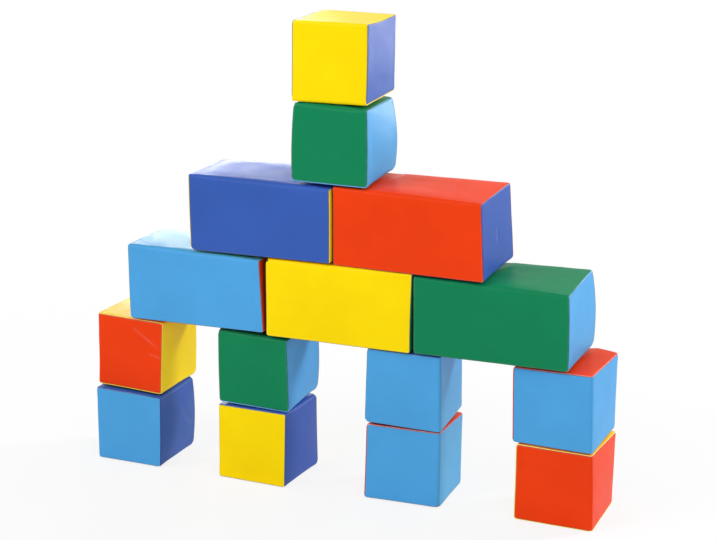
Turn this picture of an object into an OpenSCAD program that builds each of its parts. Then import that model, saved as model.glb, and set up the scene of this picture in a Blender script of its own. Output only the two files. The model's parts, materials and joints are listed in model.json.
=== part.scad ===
// A wall of giant soft building blocks: foam cubes and bricks in sewn two-colour covers.
// Each cover is two strips of coated cloth. A strip runs over three faces and is bent only
// along its length, as a sheet bends. The two strips interlock, so that one closed seam
// runs round the block as it does round a tennis ball, and each strip's cut edge is
// turned in along that seam. A zip in one end of the first strip lets the foam in and out.

/* [Blocks] */
// Edge of a cube, and height and depth of a brick
cube_size = 200; // [160:1:260]
// Length of a brick
brick_length = 390; // [300:1:480]

/* [Covers] */
// Thickness of the coated cloth
cloth = 1.5; // [1:0.1:2]
// How far the middle of a free face stands out past its edges
crown = 5; // [2:0.5:8]
// How far the middle of a brick's end stands out past its edges
end_crown = 3; // [1:0.5:5]
// Radius of the folds within a strip
fold_radius = 14; // [8:0.5:22]
// Width of the cut edge that is turned in along the seam
allowance = 10; // [6:0.5:14]

/* [Zips] */
// Distance from the end of the first strip to the middle of the zip
zip_rise = 40; // [30:1:60]
// Distance from the sides of the strip to the window that shows the chain
zip_margin = 14; // [10:1:30]
// Width of the window
zip_window = 11; // [10:0.5:14]
// Width of the tape
tape_width = 30; // [24:1:36]
// Thickness of the tape
tape_thickness = 0.8; // [0.5:0.1:1.2]
// How far the tape runs on past each end of the window
tape_end = 6; // [3:0.5:8]
// Width of the chain of closed teeth
chain_width = 6; // [4:0.5:6.5]
// Height of the chain above the tape
chain_height = 2.2; // [1.5:0.1:3]
// Length of the slider
slider_length = 12; // [9:0.5:16]
// Thickness of the slider's walls
slider_wall = 1.2; // [0.8:0.1:1.6]
// Height of the eye on the slider, which takes a hook in place of a pull tab
eye_height = 2.4; // [1.5:0.1:4]
// Width of the eye
eye_width = 3; // [2:0.1:4]

/* [Fits] */
// Gap between a strip's turned-in edge and the other strip
seam_gap = 0.25; // [0.15:0.05:0.4]
// Gap between the foam and its cover
foam_gap = 0.3; // [0.2:0.05:0.5]
// Gap between a block and the one that it stands on
rest_gap = 0.3; // [0.2:0.05:0.6]
// Running gap between the slider and the chain
slider_gap = 0.35; // [0.3:0.05:0.5]

/* [Wall] */
// Gap between the ends of two bricks in a row
brick_gap = 6; // [5:0.5:20]

/* [Hidden] */
// How far a cut or an extrusion runs past what it trims
overrun = 4;
// Straight pieces in the curve of a crowned face, and in a fold
crown_steps = 8;
fold_steps = 7;
// Depth of the tape's outer face, as a share of the cloth's thickness
tape_set_share = 0.7;
// How much of the chain's width its top loses on each side
chain_bevel_share = 0.2;
// How much of the slider's width its top loses on each side
slider_bevel_share = 0.12;
// The eye on the slider along its length: foot, shoulder and hole
eye_foot_share = 0.36;
eye_top_share = 0.22;
eye_hole_share = 0.16;

half = cube_size / 2;
brick_pitch = brick_length + brick_gap;
row_height = cube_size + rest_gap;

// The blocks of the wall, floor row first.
// Columns: name, brick or not, how it is laid, row, place along the wall as a share of the
// brick pitch, set-back as a share of the cube, turn in degrees, first and second colour.
// Laid "upright" the first strip covers front, top and back. Laid "left" or "right" its
// middle face is on that side, and laid "rear" its middle face is at the back.
BLOCK_SHARES = [
    ["foot_cube_1", false, "left",    0, -1.468, -0.035, -0.6, "sky",    "blue"],
    ["foot_cube_2", false, "left",    0, -0.556, -0.040, -2.9, "yellow", "blue"],
    ["foot_cube_3", false, "right",   0,  0.455,  0.035,  1.6, "sky",    "red"],
    ["foot_cube_4", false, "right",   0,  1.452,  0.063, -1.3, "red",    "yellow"],
    ["leg_cube_1",  false, "left",    1, -1.455,  0.028, -2.0, "red",    "yellow"],
    ["leg_cube_2",  false, "upright", 1, -0.561,  0.005, -0.3, "green",  "sky"],
    ["leg_cube_3",  false, "right",   1,  0.457,  0.018,  2.2, "sky",    "blue"],
    ["leg_cube_4",  false, "right",   1,  1.445,  0.050, -2.3, "sky",    "red"],
    ["low_brick_1", true,  "upright", 2, -0.960, -0.025, -1.2, "sky",    "red"],
    ["low_brick_2", true,  "upright", 2,  0.040, -0.030,  0.0, "yellow", "green"],
    ["low_brick_3", true,  "upright", 2,  1.040, -0.015,  0.5, "green",  "sky"],
    ["high_brick_1", true, "upright", 3, -0.497, -0.030, -0.5, "blue",   "yellow"],
    ["high_brick_2", true, "upright", 3,  0.503, -0.020, -1.5, "red",    "blue"],
    ["tower_cube",  false, "upright", 4, -0.020, -0.015,  0.9, "green",  "sky"],
    ["top_cube",    false, "rear",    5, -0.023,  0.010,  1.7, "blue",   "yellow"],
];

function name_of(b) = b[0];
function is_brick(b) = b[1];
function lay_of(b) = b[2];
function row_of(b) = b[3];
function along_share(b) = b[4];
function set_back_share(b) = b[5];
function turn_of(b) = b[6];
function first_colour(b) = b[7];
function second_colour(b) = b[8];

function foam_name(b) = str(name_of(b), "_foam");
function first_name(b) = str(name_of(b), "_", first_colour(b), "_strip");
function second_name(b) = str(name_of(b), "_", second_colour(b), "_strip");
function slider_name(b) = str(name_of(b), "_zip_slider");

function paint(word) =
    word == "yellow" ? [1.00, 0.82, 0.03]
    : word == "red" ? [0.90, 0.26, 0.10]
    : word == "green" ? [0.11, 0.52, 0.33]
    : word == "blue" ? [0.24, 0.38, 0.70]
    : [0.33, 0.64, 0.86];

// Bulges of a block's faces in its own frame. A face that carries or stands on another
// block is pressed flat, and the others are crowned.
function is_upright(b) = lay_of(b) == "upright";
function side_bulge(b) = crown;
function top_bulge(b) = is_upright(b) ? 0 : crown;
function bottom_bulge(b) = is_upright(b) ? 0 : crown;
function left_bulge(b) = is_brick(b) ? end_crown : is_upright(b) || lay_of(b) == "rear" ? crown : 0;
function right_bulge(b) = is_brick(b) ? end_crown : is_upright(b) ? crown : 0;
function reach(b) = (is_brick(b) ? brick_length : cube_size) / 2;

// A curved side: how far out it stands at height v, for its bulge.
function out_at(wall, bulge, v) = wall - bulge * pow(v / half, 2);

function side_points(sign, wall, bulge, low, high) =
    let (steps = bulge > 0 ? crown_steps : 1)
    [for (i = [0 : steps - 1])
        let (v = low + (high - low) * i / steps)
        [sign * out_at(wall, bulge, v), v]];

function bend_points(a, corner, b) =
    [for (i = [0 : fold_steps])
        let (t = i / fold_steps)
        a * pow(1 - t, 2) + corner * 2 * t * (1 - t) + b * pow(t, 2)];

function reversed(points) = [for (i = [len(points) - 1 : -1 : 0]) points[i]];

// Half of a strip's outline, from its open end up one side, round the fold and on to the
// middle of its end face. The sign says which side.
function half_outline(sign, wide, bulge, roof, inset, tail) =
    let (
        wall = wide - inset,
        top = half - inset,
        bend = max(fold_radius - inset, cloth),
        edge = out_at(wall, bulge, top),
        crest = function(u) top - roof * pow(u / wide, 2),
        brow = crest(edge),
        spring = brow - bend,
        start = [sign * out_at(wall, bulge, spring), spring],
        finish = [sign * (edge - bend), crest(edge - bend)],
        steps = roof > 0 ? crown_steps / 2 : 0
    )
    concat(
        side_points(sign, wall, bulge, -half - tail, spring),
        bend_points(start, [sign * edge, brow], finish),
        [for (i = [1 : 1 : steps])
            let (u = (edge - bend) * (1 - i / steps))
            [sign * u, crest(u)]]
    );

// The outline of a strip seen along its width, drawn in from its surface by inset. Its
// open end runs a tail past the far face.
function strip_outline(wide, near, far, roof, inset, tail) =
    let (
        up = half_outline(-1, wide, near, roof, inset, tail),
        down = reversed(half_outline(1, wide, far, roof, inset, tail)),
        skip = roof > 0 ? 1 : 0
    )
    concat(up, [for (i = [skip : len(down) - 1]) down[i]]);

function first_outline(b, inset, tail) =
    strip_outline(half, side_bulge(b), side_bulge(b), top_bulge(b), inset, tail);

function second_outline(b, inset, tail) =
    strip_outline(reach(b), left_bulge(b), right_bulge(b), bottom_bulge(b), inset, tail);

// The space inside the first strip's surface, at a depth below it, as long as the block.
module first_space(b, inset, tail = overrun)
    rotate([90, 0, 90])
    linear_extrude(2 * (reach(b) + overrun + inset), center = true)
    polygon(first_outline(b, inset, tail));

// The space inside the second strip's surface, at a depth below it, as deep as the block.
module second_space(b, inset, tail = overrun)
    rotate([-90, 0, 0])
    linear_extrude(2 * (half + overrun + inset), center = true)
    polygon(second_outline(b, inset, tail));

// The zip lies on the back face of the first strip, square to its slope there.
zip_height = zip_rise - half;
zip_out = out_at(half, crown, zip_height);
zip_slope = atan(2 * crown * zip_height / pow(half, 2));
tape_top = -cloth * tape_set_share;
tape_bottom = tape_top - tape_thickness;
chain_top = tape_top + chain_height;
channel_width = chain_width + 2 * slider_gap;
slider_width = channel_width + 2 * slider_wall;
slider_top = chain_top + slider_gap + slider_wall;

function window_length(b) = 2 * (reach(b) - crown - zip_margin);
function tape_length(b) = window_length(b) + 2 * tape_end;
function slider_rest(b) = -(window_length(b) - slider_length) / 2 + slider_gap;

module on_zip()
    translate([0, zip_out, zip_height])
    rotate([zip_slope, 0, 0])
    children();

// A flat bar along the zip, between two heights measured from the cloth's outer face.
module zip_bar(length, low, high, width)
    translate([-length / 2, low, -width / 2])
    cube([length, high - low, width]);

module zip_tape(b)
    zip_bar(tape_length(b), tape_bottom, tape_top, tape_width);

module zip_chain(b) {
    foot = chain_width / 2;
    ridge = foot - chain_width * chain_bevel_share;
    knee = tape_top + chain_height / 2;
    rotate([0, 90, 0])
    linear_extrude(window_length(b), center = true)
    polygon([
        [-foot, tape_bottom], [foot, tape_bottom], [foot, knee],
        [ridge, chain_top], [-ridge, chain_top], [-foot, knee]
    ]);
}

// The foam block. Its edges are stepped back where the turned-in cloth lies along the seam.
module foam_core(b)
    color("wheat")
    difference() {
        union() {
            intersection() {
                first_space(b, cloth + foam_gap);
                second_space(b, 2 * cloth + seam_gap + foam_gap);
            }
            intersection() {
                first_space(b, allowance + foam_gap);
                second_space(b, cloth + foam_gap);
            }
        }
        on_zip()
        zip_bar(
            tape_length(b) + 2 * foam_gap,
            tape_bottom - foam_gap,
            overrun,
            tape_width + 2 * foam_gap
        );
    }

// The first strip: its cut edges turned in behind the second strip, with the zip sewn in.
module first_strip(b)
    color(paint(first_colour(b))) {
        difference() {
            intersection() {
                first_space(b, 0);
                second_space(b, cloth + seam_gap);
            }
            intersection() {
                first_space(b, cloth, 2 * overrun);
                second_space(b, 2 * cloth + seam_gap, 2 * overrun);
            }
            first_space(b, allowance, 2 * overrun);
            on_zip()
            zip_bar(window_length(b), -cloth - overrun, overrun, zip_window);
        }
        on_zip() {
            zip_tape(b);
            zip_chain(b);
        }
    }

// The second strip, whose edges close over those of the first.
module second_strip(b)
    color(paint(second_colour(b)))
    difference() {
        intersection() {
            second_space(b, 0);
            first_space(b, 0);
        }
        second_space(b, cloth, 2 * overrun);
    }

// The zip's slider, a saddle over the chain with an eye on top.
module zip_slider(b)
    color("gainsboro")
    on_zip()
    translate([slider_rest(b), 0, 0]) {
        wall = slider_width / 2;
        ridge = wall - slider_width * slider_bevel_share;
        inside = channel_width / 2;
        foot = tape_top + slider_gap;
        shoulder = slider_top - slider_wall;
        rotate([0, 90, 0])
        linear_extrude(slider_length, center = true)
        polygon([
            [-wall, foot], [-inside, foot], [-inside, shoulder], [inside, shoulder],
            [inside, foot], [wall, foot], [wall, shoulder],
            [ridge, slider_top], [-ridge, slider_top], [-wall, shoulder]
        ]);
        linear_extrude(eye_width, center = true)
        difference() {
            polygon([
                [-slider_length * eye_foot_share, shoulder],
                [slider_length * eye_foot_share, shoulder],
                [slider_length * eye_top_share, slider_top + eye_height],
                [-slider_length * eye_top_share, slider_top + eye_height]
            ]);
            translate([-slider_length * eye_hole_share, slider_top])
            square([2 * slider_length * eye_hole_share, eye_height / 2]);
        }
    }

// How a block is turned onto the faces that it stands on.
module laid(b) {
    if (is_upright(b)) children();
    if (lay_of(b) == "left") rotate([0, -90, 0]) children();
    if (lay_of(b) == "right") rotate([0, 90, 0]) children();
    if (lay_of(b) == "rear") rotate([0, 90, 0]) rotate([-90, 0, 0]) children();
}

// Plan outline of a block about its own middle, and the tip of its slider's eye.
function plan_points(b) =
    let (ring = first_outline(b, 0, 0), tip = zip_out + slider_top + eye_height)
    lay_of(b) == "left" ? concat([for (p = ring) [-p.y, p.x]], [[-zip_height, tip]])
    : lay_of(b) == "right" ? concat([for (p = ring) [p.y, p.x]], [[zip_height, tip]])
    : lay_of(b) == "upright"
        ? [for (x = [-reach(b), reach(b)]) each [[x, -half], [x, half]], [slider_rest(b), tip]]
        : [for (x = [-half, half]) each [[x, -half], [x, half]]];

function spot(b) = [along_share(b) * brick_pitch, set_back_share(b) * cube_size];

function placed_points(b) =
    let (c = cos(turn_of(b)), s = sin(turn_of(b)))
    [for (p = plan_points(b)) spot(b) + [c * p.x - s * p.y, s * p.x + c * p.y]];

// The wall stands with the middle of its footprint's box on the origin.
all_points = [for (b = BLOCK_SHARES) each placed_points(b)];
xs = [for (p = all_points) p.x];
ys = [for (p = all_points) p.y];
middle = [min(xs) + max(xs), min(ys) + max(ys)] / 2;

module placed(b) {
    at = spot(b) - middle;
    translate([at.x, at.y, row_of(b) * row_height + half])
    rotate([0, 0, turn_of(b)])
    laid(b)
    children();
}

for (b = BLOCK_SHARES) {
    placed(b) foam_core(b);
    placed(b) first_strip(b);
    placed(b) second_strip(b);
    placed(b) zip_slider(b);
}
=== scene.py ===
# %% [markdown]
# # Giant soft building blocks, stacked as a wall
# Fifteen foam blocks stand on each other. Each block wears a cover of coated cloth in two colours, sewn from
# two strips and closed by a zip. The CAD frame already holds every block at its place and size, so this lesson
# makes what a solid model leaves out: cloth that swells over its foam, seams that draw in, zips and light.

# %% Load the frame
import json
import math
import time

import bpy
import numpy as np
from mathutils import Matrix, Vector


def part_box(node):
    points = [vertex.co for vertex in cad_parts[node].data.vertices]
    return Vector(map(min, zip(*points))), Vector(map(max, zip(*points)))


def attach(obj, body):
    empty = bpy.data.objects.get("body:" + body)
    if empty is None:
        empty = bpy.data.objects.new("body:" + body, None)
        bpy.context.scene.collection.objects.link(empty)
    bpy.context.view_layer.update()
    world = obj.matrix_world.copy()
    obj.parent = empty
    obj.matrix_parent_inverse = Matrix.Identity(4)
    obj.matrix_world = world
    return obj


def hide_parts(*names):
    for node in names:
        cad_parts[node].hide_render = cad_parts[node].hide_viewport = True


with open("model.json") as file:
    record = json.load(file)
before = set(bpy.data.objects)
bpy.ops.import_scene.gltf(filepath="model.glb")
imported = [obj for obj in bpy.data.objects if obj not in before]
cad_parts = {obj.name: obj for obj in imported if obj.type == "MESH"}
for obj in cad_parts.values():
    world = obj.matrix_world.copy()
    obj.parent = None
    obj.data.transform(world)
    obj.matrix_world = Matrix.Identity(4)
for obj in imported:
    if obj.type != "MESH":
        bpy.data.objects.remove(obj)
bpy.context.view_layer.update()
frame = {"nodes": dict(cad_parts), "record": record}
scene = bpy.context.scene
MM = 0.001

# %% [markdown]
# ## The blocks
# A block is a cube or a brick. Its own frame is the one in which it was sewn: the first strip covers front, top
# and back, the second one left, bottom and right. A block that lies on another face is turned by a quarter turn,
# and then by the few degrees at which it was put down. Its place is read from the frame.

# %% Sizes and places
CUBE = 200 * MM
BRICK_LENGTH = 390 * MM
LAYS = {
    "upright": np.array([[1, 0, 0], [0, 1, 0], [0, 0, 1]]),
    "left": np.array([[0, 0, -1], [0, 1, 0], [1, 0, 0]]),
    "right": np.array([[0, 0, 1], [0, 1, 0], [-1, 0, 0]]),
    "rear": np.array([[0, -1, 0], [0, 0, 1], [-1, 0, 0]]),
}
# How each block is laid, and its turn in degrees
BLOCKS = {
    "foot_cube_1": ("left", -0.6),
    "foot_cube_2": ("left", -2.9),
    "foot_cube_3": ("right", 1.6),
    "foot_cube_4": ("right", -1.3),
    "leg_cube_1": ("left", -2.0),
    "leg_cube_2": ("upright", -0.3),
    "leg_cube_3": ("right", 2.2),
    "leg_cube_4": ("right", -2.3),
    "low_brick_1": ("upright", -1.2),
    "low_brick_2": ("upright", 0.0),
    "low_brick_3": ("upright", 0.5),
    "high_brick_1": ("upright", -0.5),
    "high_brick_2": ("upright", -1.5),
    "tower_cube": ("upright", 0.9),
    "top_cube": ("rear", 1.7),
}


def half_size(block):
    length = BRICK_LENGTH if "brick" in block else CUBE
    return np.array([length, CUBE, CUBE]) / 2


def members(block):
    """The block's CAD nodes: foam, first strip, second strip."""
    return frame["record"]["behaviour"]["bodies"][block]


def centre_of(block):
    corners = [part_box(node) for node in members(block)[1:]]
    low = np.min([low for low, high in corners], axis=0)
    high = np.max([high for low, high in corners], axis=0)
    return (low + high) / 2


def stand_of(block):
    """The matrix from the block's laid frame to its place in the wall."""
    turn = Matrix.Rotation(math.radians(BLOCKS[block][1]), 4, "Z")
    return Matrix.Translation(centre_of(block)) @ turn


def lay_of(block):
    return LAYS[BLOCKS[block][0]]


def colour_of(node):
    return node.split("_")[-2]


for block in BLOCKS:
    print(block, "at", np.round(centre_of(block), 3), "strips", [colour_of(n) for n in members(block)[1:]])

# %% [markdown]
# ## The pattern of a cover
# A cover is two strips of cloth. Each goes over three faces in a row, and they hold each other like the two
# halves of a ball's skin, so a block has four folds inside its strips and eight edges where two strips are sewn.
# A strip is one rectangle when it is cut. It could be sculpted, but here it is one grid of points, laid round a
# plain box before it takes its soft form, because a grid keeps the rows and columns of the real cut cloth.

# %% Strips round a plain box
CELL = 6 * MM


def around(across, up):
    """Points along three sides of a rectangle: up one side, over, and down the other."""
    rise = np.stack([np.full(len(up), across[0]), up], axis=1)
    over = np.stack([across, np.full(len(across), up[-1])], axis=1)
    fall = np.stack([np.full(len(up), across[-1]), up[::-1]], axis=1)
    return np.concatenate([rise[:-1], over[:-1], fall])


def pattern(half):
    """The two strips as grids of points on a box, in the frame in which they were sewn."""
    x, y, z = (np.linspace(-h, h, round(2 * h / CELL) + 1) for h in half)
    over_top = around(y, z)
    under_foot = around(x, z[::-1])
    first = np.empty((len(over_top), len(x), 3))
    first[..., 0] = x[None]
    first[..., 1:] = over_top[:, None]
    second = np.empty((len(under_foot), len(y), 3))
    second[..., 1] = y[None]
    second[..., 0::2] = under_foot[:, None]
    return first, second


def grid_quads(rows, columns):
    index = np.arange(rows * columns).reshape(rows, columns)
    corners = [index[:-1, :-1], index[:-1, 1:], index[1:, 1:], index[1:, :-1]]
    return np.stack(corners, axis=-1).reshape(-1, 4)


cube_pattern = pattern(half_size("top_cube"))
brick_pattern = pattern(half_size("low_brick_1"))
print("Points in a strip: cube", cube_pattern[0].shape[:2], "brick", brick_pattern[0].shape[:2])

# %% [markdown]
# ## From a box to a soft block
# Four things shape a block. Its folds are round, and tight only where they end in a seam. Its corners are drawn
# in by the sewing, each by its own amount, which was read off the photograph. The foam pushes the middle of each
# face out again, level where it carries another block and straight beside the zip. And a block under load swells
# at half height like a barrel. Slow waves, fixed by a seed, keep two blocks from being alike. All of these are
# moves of the grid's points, so they add up in any order and each one can be changed alone.

# %% Folds
FOLD_RADIUS = 6 * MM
SOFT_FOLDS = {"tower_cube": 10 * MM, "leg_cube_2": 9 * MM}
FOLD_END = 3.5 * MM
FOLD_FADE = 45 * MM
ON_FACE = 0.01 * MM


def smooth(value, low, high):
    share = np.clip((value - low) / (high - low), 0, 1)
    return share * share * (3 - 2 * share)


def fold_moves(points, half, middle):
    """How far the points of a box move when its folds are rounded, in the frame in which it was sewn."""
    moves = np.zeros_like(points)
    for across, along, up in ((1, 0, 1), (0, 1, -1)):
        end = half[along] - np.abs(points[:, along])
        radius = FOLD_END + (middle - FOLD_END) * smooth(end, 0, FOLD_FADE)
        side = half[across] - np.abs(points[:, across])
        level = half[2] - up * points[:, 2]
        far = np.clip(np.maximum(side, level) / radius, 0, 1)
        turn = np.pi / 4 * (1 - far)
        towards = radius * (np.sin(turn) - 1 + far)
        inward = radius * (np.cos(turn) - 1)
        on_strip = np.minimum(side, level) < ON_FACE
        on_top = level <= side
        outward = np.where(on_top, towards, inward) * on_strip
        upward = np.where(on_top, inward, towards) * on_strip
        moves[:, across] += np.sign(points[:, across]) * outward
        moves[:, 2] += up * upward
    return moves


print("Folds in mm: plain", round(FOLD_RADIUS / MM, 1), "at a seam", round(FOLD_END / MM, 1))

# %% How each block is drawn in
# A corner without an entry is drawn in by this much along each axis, in mm
DRAW = 4
PLAIN_ROUND = 0.8
LETTERS = ({"L": -1, "R": 1}, {"F": -1, "B": 1}, {"D": -1, "U": 1})
# Moves in mm along x and z of a corner, or of the middle of an edge: L or R, F or B as front or back, D or U as
# down or up. A third number says how far the tip of the corner is rounded off.
PULLS = {
    "top_cube": {"LFU": (4, -3), "RFU": (-2, -2), "RFD": (-6, 1), "LFD": (1, 0), "RBU": (1, -4), "RBD": (-2, 8),
                 "LBU": (9, -2), "RU": (0, -4), "RF": (1, 0), "RB": (1, 0)},
    "tower_cube": {"LFU": (8, -2, 2), "RFU": (-2, -8), "RFD": (-2, 1), "LFD": (1, 4), "RBU": (-10, -8),
                   "RBD": (-1, 10, 3.5), "LF": (-4, 0), "RF": (1, 0), "RB": (10, 0), "LB": (-8, 0)},
    "high_brick_1": {"LFU": (3, -4), "RFU": (-1, -8), "RFD": (-1, 5), "LFD": (5, 1, 5), "LBU": (3, -2),
                     "BU": (0, 6)},
    "high_brick_2": {"LFU": (-2, -3), "RFU": (-7, -9), "RFD": (2, 0), "LFD": (-1, 0), "RBU": (-3, 5),
                     "RBD": (10, 16), "LBU": (4, 0)},
    "low_brick_1": {"LFU": (7, -3), "RFU": (-8, -7), "RFD": (1, 7), "LFD": (9, 0), "LBU": (7, -6)},
    "low_brick_2": {"LFU": (1, 0, 5), "RFU": (-1, 0), "RFD": (-5, 0), "LFD": (0, 0)},
    "low_brick_3": {"LFU": (-4, -5), "RFU": (-5, -11), "RFD": (-2, 1), "LFD": (-2, 1), "RBU": (-2, 6),
                    "RBD": (7, 13, 3.5), "LBU": (4, 0), "RF": (2, 0), "RB": (8, 0)},
    "leg_cube_1": {"LFU": (7, 0), "RFU": (2, -5), "RFD": (-8, 0), "LFD": (3, 6), "RBD": (-10, 1, 3)},
    "leg_cube_2": {"LFU": (5, -2, 3), "RFU": (-4, -10), "RFD": (1, 0), "LFD": (5, 5), "RBD": (-4, 5, 2.5),
                   "LF": (-1, 0), "RB": (6, 0), "LB": (-4, 0)},
    "leg_cube_3": {"LFU": (8, -2), "RFU": (-2, -5), "RFD": (0, 0), "LFD": (2, 6, 2.5), "RBD": (-2, 9)},
    "leg_cube_4": {"LFU": (-3, -7), "RFU": (-3, -4), "RFD": (1, 0), "LFD": (-1, 2), "RBU": (1, -1),
                   "RBD": (-1, 7), "BU": (0, 9)},
    "foot_cube_1": {"LFU": (7, -1), "RFU": (-3, -7), "RFD": (-8, 2), "LFD": (7, 4), "RBU": (-9, -6, 2),
                    "RBD": (-11, 0, 2), "LF": (-1, 0), "RF": (1, 0), "RB": (7, 0), "LB": (-4, 0)},
    "foot_cube_2": {"LFU": (4, -2), "RFU": (-2, -1), "RFD": (-7, 1), "LFD": (1, 1), "RBU": (-9, -7, 2),
                    "RBD": (-6, 0, 2)},
    "foot_cube_3": {"LFU": (7, 0), "RFU": (0, -1), "RFD": (-1, 2, 3), "LFD": (0, 2), "RBU": (-1, -10),
                    "RBD": (-4, 0)},
    "foot_cube_4": {"LFU": (4, -2), "RFU": (-4, -4), "RFD": (2, 0, 2), "LFD": (2, 2), "RBU": (0, -5),
                    "RBD": (-4, 5)},
}
print("Corners and edges drawn in:", sum(len(pulls) for pulls in PULLS.values()))

# %% Corners
SIGNS = [np.array([x, y, z]) for x in (-1, 1) for y in (-1, 1) for z in (-1, 1)]


def near_to(name, share):
    """How much each point belongs to a corner, which has three letters, or to an edge, which has two."""
    near = np.ones(len(share))
    for axis, letters in enumerate(LETTERS):
        sign = sum(letters.get(letter, 0) for letter in name)
        near *= (1 + sign * share[:, axis]) / 2 if sign else 1 - share[:, axis] ** 2
    return near


def corner_name(signs):
    pairs = zip(signs, LETTERS)
    return "".join(letter for sign, letters in pairs for letter in letters if letters[letter] == sign)


def corner_move(block, signs):
    name = corner_name(signs)
    move = -DRAW * signs.astype(float)
    if name in PULLS[block]:
        move[[0, 2]] = PULLS[block][name][:2]
    return move * MM


def corner_round(block, signs):
    """How far the tip of a corner is rounded off."""
    return (*PULLS[block].get(corner_name(signs), ()), PLAIN_ROUND, PLAIN_ROUND, PLAIN_ROUND)[2] * MM


print("Names of the corners:", [corner_name(signs) for signs in SIGNS])

# %% Faces
# How squarely a face is filled: a free one, one under load, and one along its zip
FREE, PRESSED, STIFF = 3.0, 7.0, 14.0
CORNER_REACH = 14 * MM
AT_FACE = 1e-6


def face_powers(block, axis, sign):
    """How squarely a face of the laid block is filled, along each axis."""
    powers = np.full(3, FREE)
    if axis == 2 and not (block == "top_cube" and sign > 0):
        powers[:] = PRESSED
    if (lay_of(block) @ (0, 1, 0))[axis] == sign:
        powers[np.abs(lay_of(block) @ (1, 0, 0)) > 0] = STIFF
    return powers


def soft_moves(block, points, half):
    """How far the points of a laid box move when its corners are drawn in and its faces swell."""
    share = points / half
    moves = np.zeros_like(points)
    for signs in SIGNS:
        moves += near_to(corner_name(signs), share)[:, None] * corner_move(block, signs)
    for name, pull in PULLS[block].items():
        if len(name) == 2:
            moves[:, [0, 2]] += near_to(name, share)[:, None] * np.array(pull) * MM
    for axis in range(3):
        others = [k for k in range(3) if k != axis]
        for sign in (-1, 1):
            inset = np.mean([corner_move(block, signs)[axis] for signs in SIGNS if signs[axis] == sign])
            powers = face_powers(block, axis, sign)
            full = np.prod([1 - np.abs(share[:, k]) ** powers[k] for k in others], axis=0)
            moves[:, axis] -= inset * full * (sign * share[:, axis] > 1 - AT_FACE)
    for signs in SIGNS:
        tip = np.prod(np.clip(1 - (half - points * signs) / CORNER_REACH, 0, 1), axis=1) ** 2
        moves -= corner_round(block, signs) * tip[:, None] * signs
    return moves


# %% Waves
WAVES = 6
WAVE_SEED = 11
WAVE_SPREAD = (0.6, 1.4)
# Length and height of the slow waves of a block and of its shorter ones
WAVE_SIZES = ((160 * MM, 0.25 * MM), (70 * MM, 0.08 * MM))


def wave_moves(block, points):
    draw = np.random.default_rng(sorted(BLOCKS).index(block) + WAVE_SEED)
    moves = np.zeros_like(points)
    for length, height in WAVE_SIZES:
        for _ in range(WAVES):
            turn = draw.normal(size=3)
            turn *= 2 * math.pi / (length * draw.uniform(*WAVE_SPREAD) * np.linalg.norm(turn))
            push = draw.normal(size=3) * height / math.sqrt(WAVES)
            moves += np.sin(points @ turn + draw.uniform(0, 2 * math.pi))[:, None] * push
    return moves


# %% [markdown]
# ## Creases
# Coated cloth that was once folded keeps a crease. Three covers show one. A crease could be a bump in the finish,
# but it is a shallow groove in the grid here, so that it is also part of the mesh.

# %% Creases
CREASE_WIDTH = 5 * MM
ON_CREASED_FACE = 12 * MM
# A crease is painted a little paler along its line: a painted highlight
CREASE_HIGHLIGHT = 0.2
# Creases of single covers: where each starts and ends, as shares of the half size, and its depth in mm
CREASES = {
    "leg_cube_1": (((0.15, -1, 0.7), (0.81, -1, 0.27), 1.6), ((0.63, -1, 0.05), (0.87, -1, 0), 1.1)),
    "foot_cube_1": (((1, 0.17, 0.25), (1, 0.76, -0.32), 1.3),),
    "high_brick_2": (((1, 0.02, 0.06), (1, 0, -0.2), 1.0),),
}


def creases(block, points, half):
    """Each crease of a block: the way into its face, its depth, and how much each point belongs to it."""
    for start, end, depth in CREASES.get(block, ()):
        face = np.argmax(np.abs(start))
        way = (np.array(end) - start) * half
        offset = points - start * half
        on_face = np.abs(offset[..., face]) < ON_CREASED_FACE
        offset[..., face] = 0
        along = np.clip(offset @ way / (way @ way), 0, 1)
        gap = np.linalg.norm(offset - along[..., None] * way, axis=-1)
        inward = -np.eye(3)[face] * start[face]
        yield inward, depth * MM, on_face * np.exp(-(gap / CREASE_WIDTH) ** 2)


print("Creases:", {block: len(rows) for block, rows in CREASES.items()})

# %% [markdown]
# ## Letting the cover swell
# The two grids are sewn into one closed skin, and a short cloth simulation blows it up against its seams, as foam
# does. Gravity is off, the seams are pinned, because four layers of cloth in them are stiff, and the cloth between
# them is a little too small, which keeps it taut. Only the slow part of the swelling is kept, because coated cloth
# on firm foam shows no small ripples, and no point may move further than a cap. Afterwards the faces that press on
# another block are cut level.

# %% Sewing two grids into one skin
# Points closer than this are one, and the shift keeps the plain box's own points off the steps of the rounding
SAME_POINT, KEY_SHIFT = 0.01 * MM, 0.31


def sewn(strips):
    """One skin from two grids: its points, faces, the index of every grid point in it, and a mask of its seams."""
    points = np.concatenate([strip.reshape(-1, 3) for strip in strips])
    keys = np.round(points / SAME_POINT + KEY_SHIFT).astype(np.int64)
    _, first, index = np.unique(keys, axis=0, return_index=True, return_inverse=True)
    index = index.reshape(-1)
    offsets = [0, strips[0].shape[0] * strips[0].shape[1]]
    quads = [grid_quads(*strip.shape[:2]) + offset for strip, offset in zip(strips, offsets)]
    seams = np.bincount(index) > 1
    return points[first], index[np.concatenate(quads)], index, seams


print("Points on the seams of a cube:", int(sewn(cube_pattern)[3].sum()))

# %% Cloth
FRAMES = 10
MOST_MOVE = 2.2 * MM
CALM_ROUNDS = 6
CLOTH_SETTINGS = {
    "vertex_group_mass": "seams",
    "quality": 4,
    "mass": 0.15,
    "tension_stiffness": 25,
    "compression_stiffness": 25,
    "shear_stiffness": 15,
    "bending_stiffness": 5,
    "use_pressure": True,
    "uniform_pressure_force": 2.5,
    "shrink_min": 0.003,
}


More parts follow.
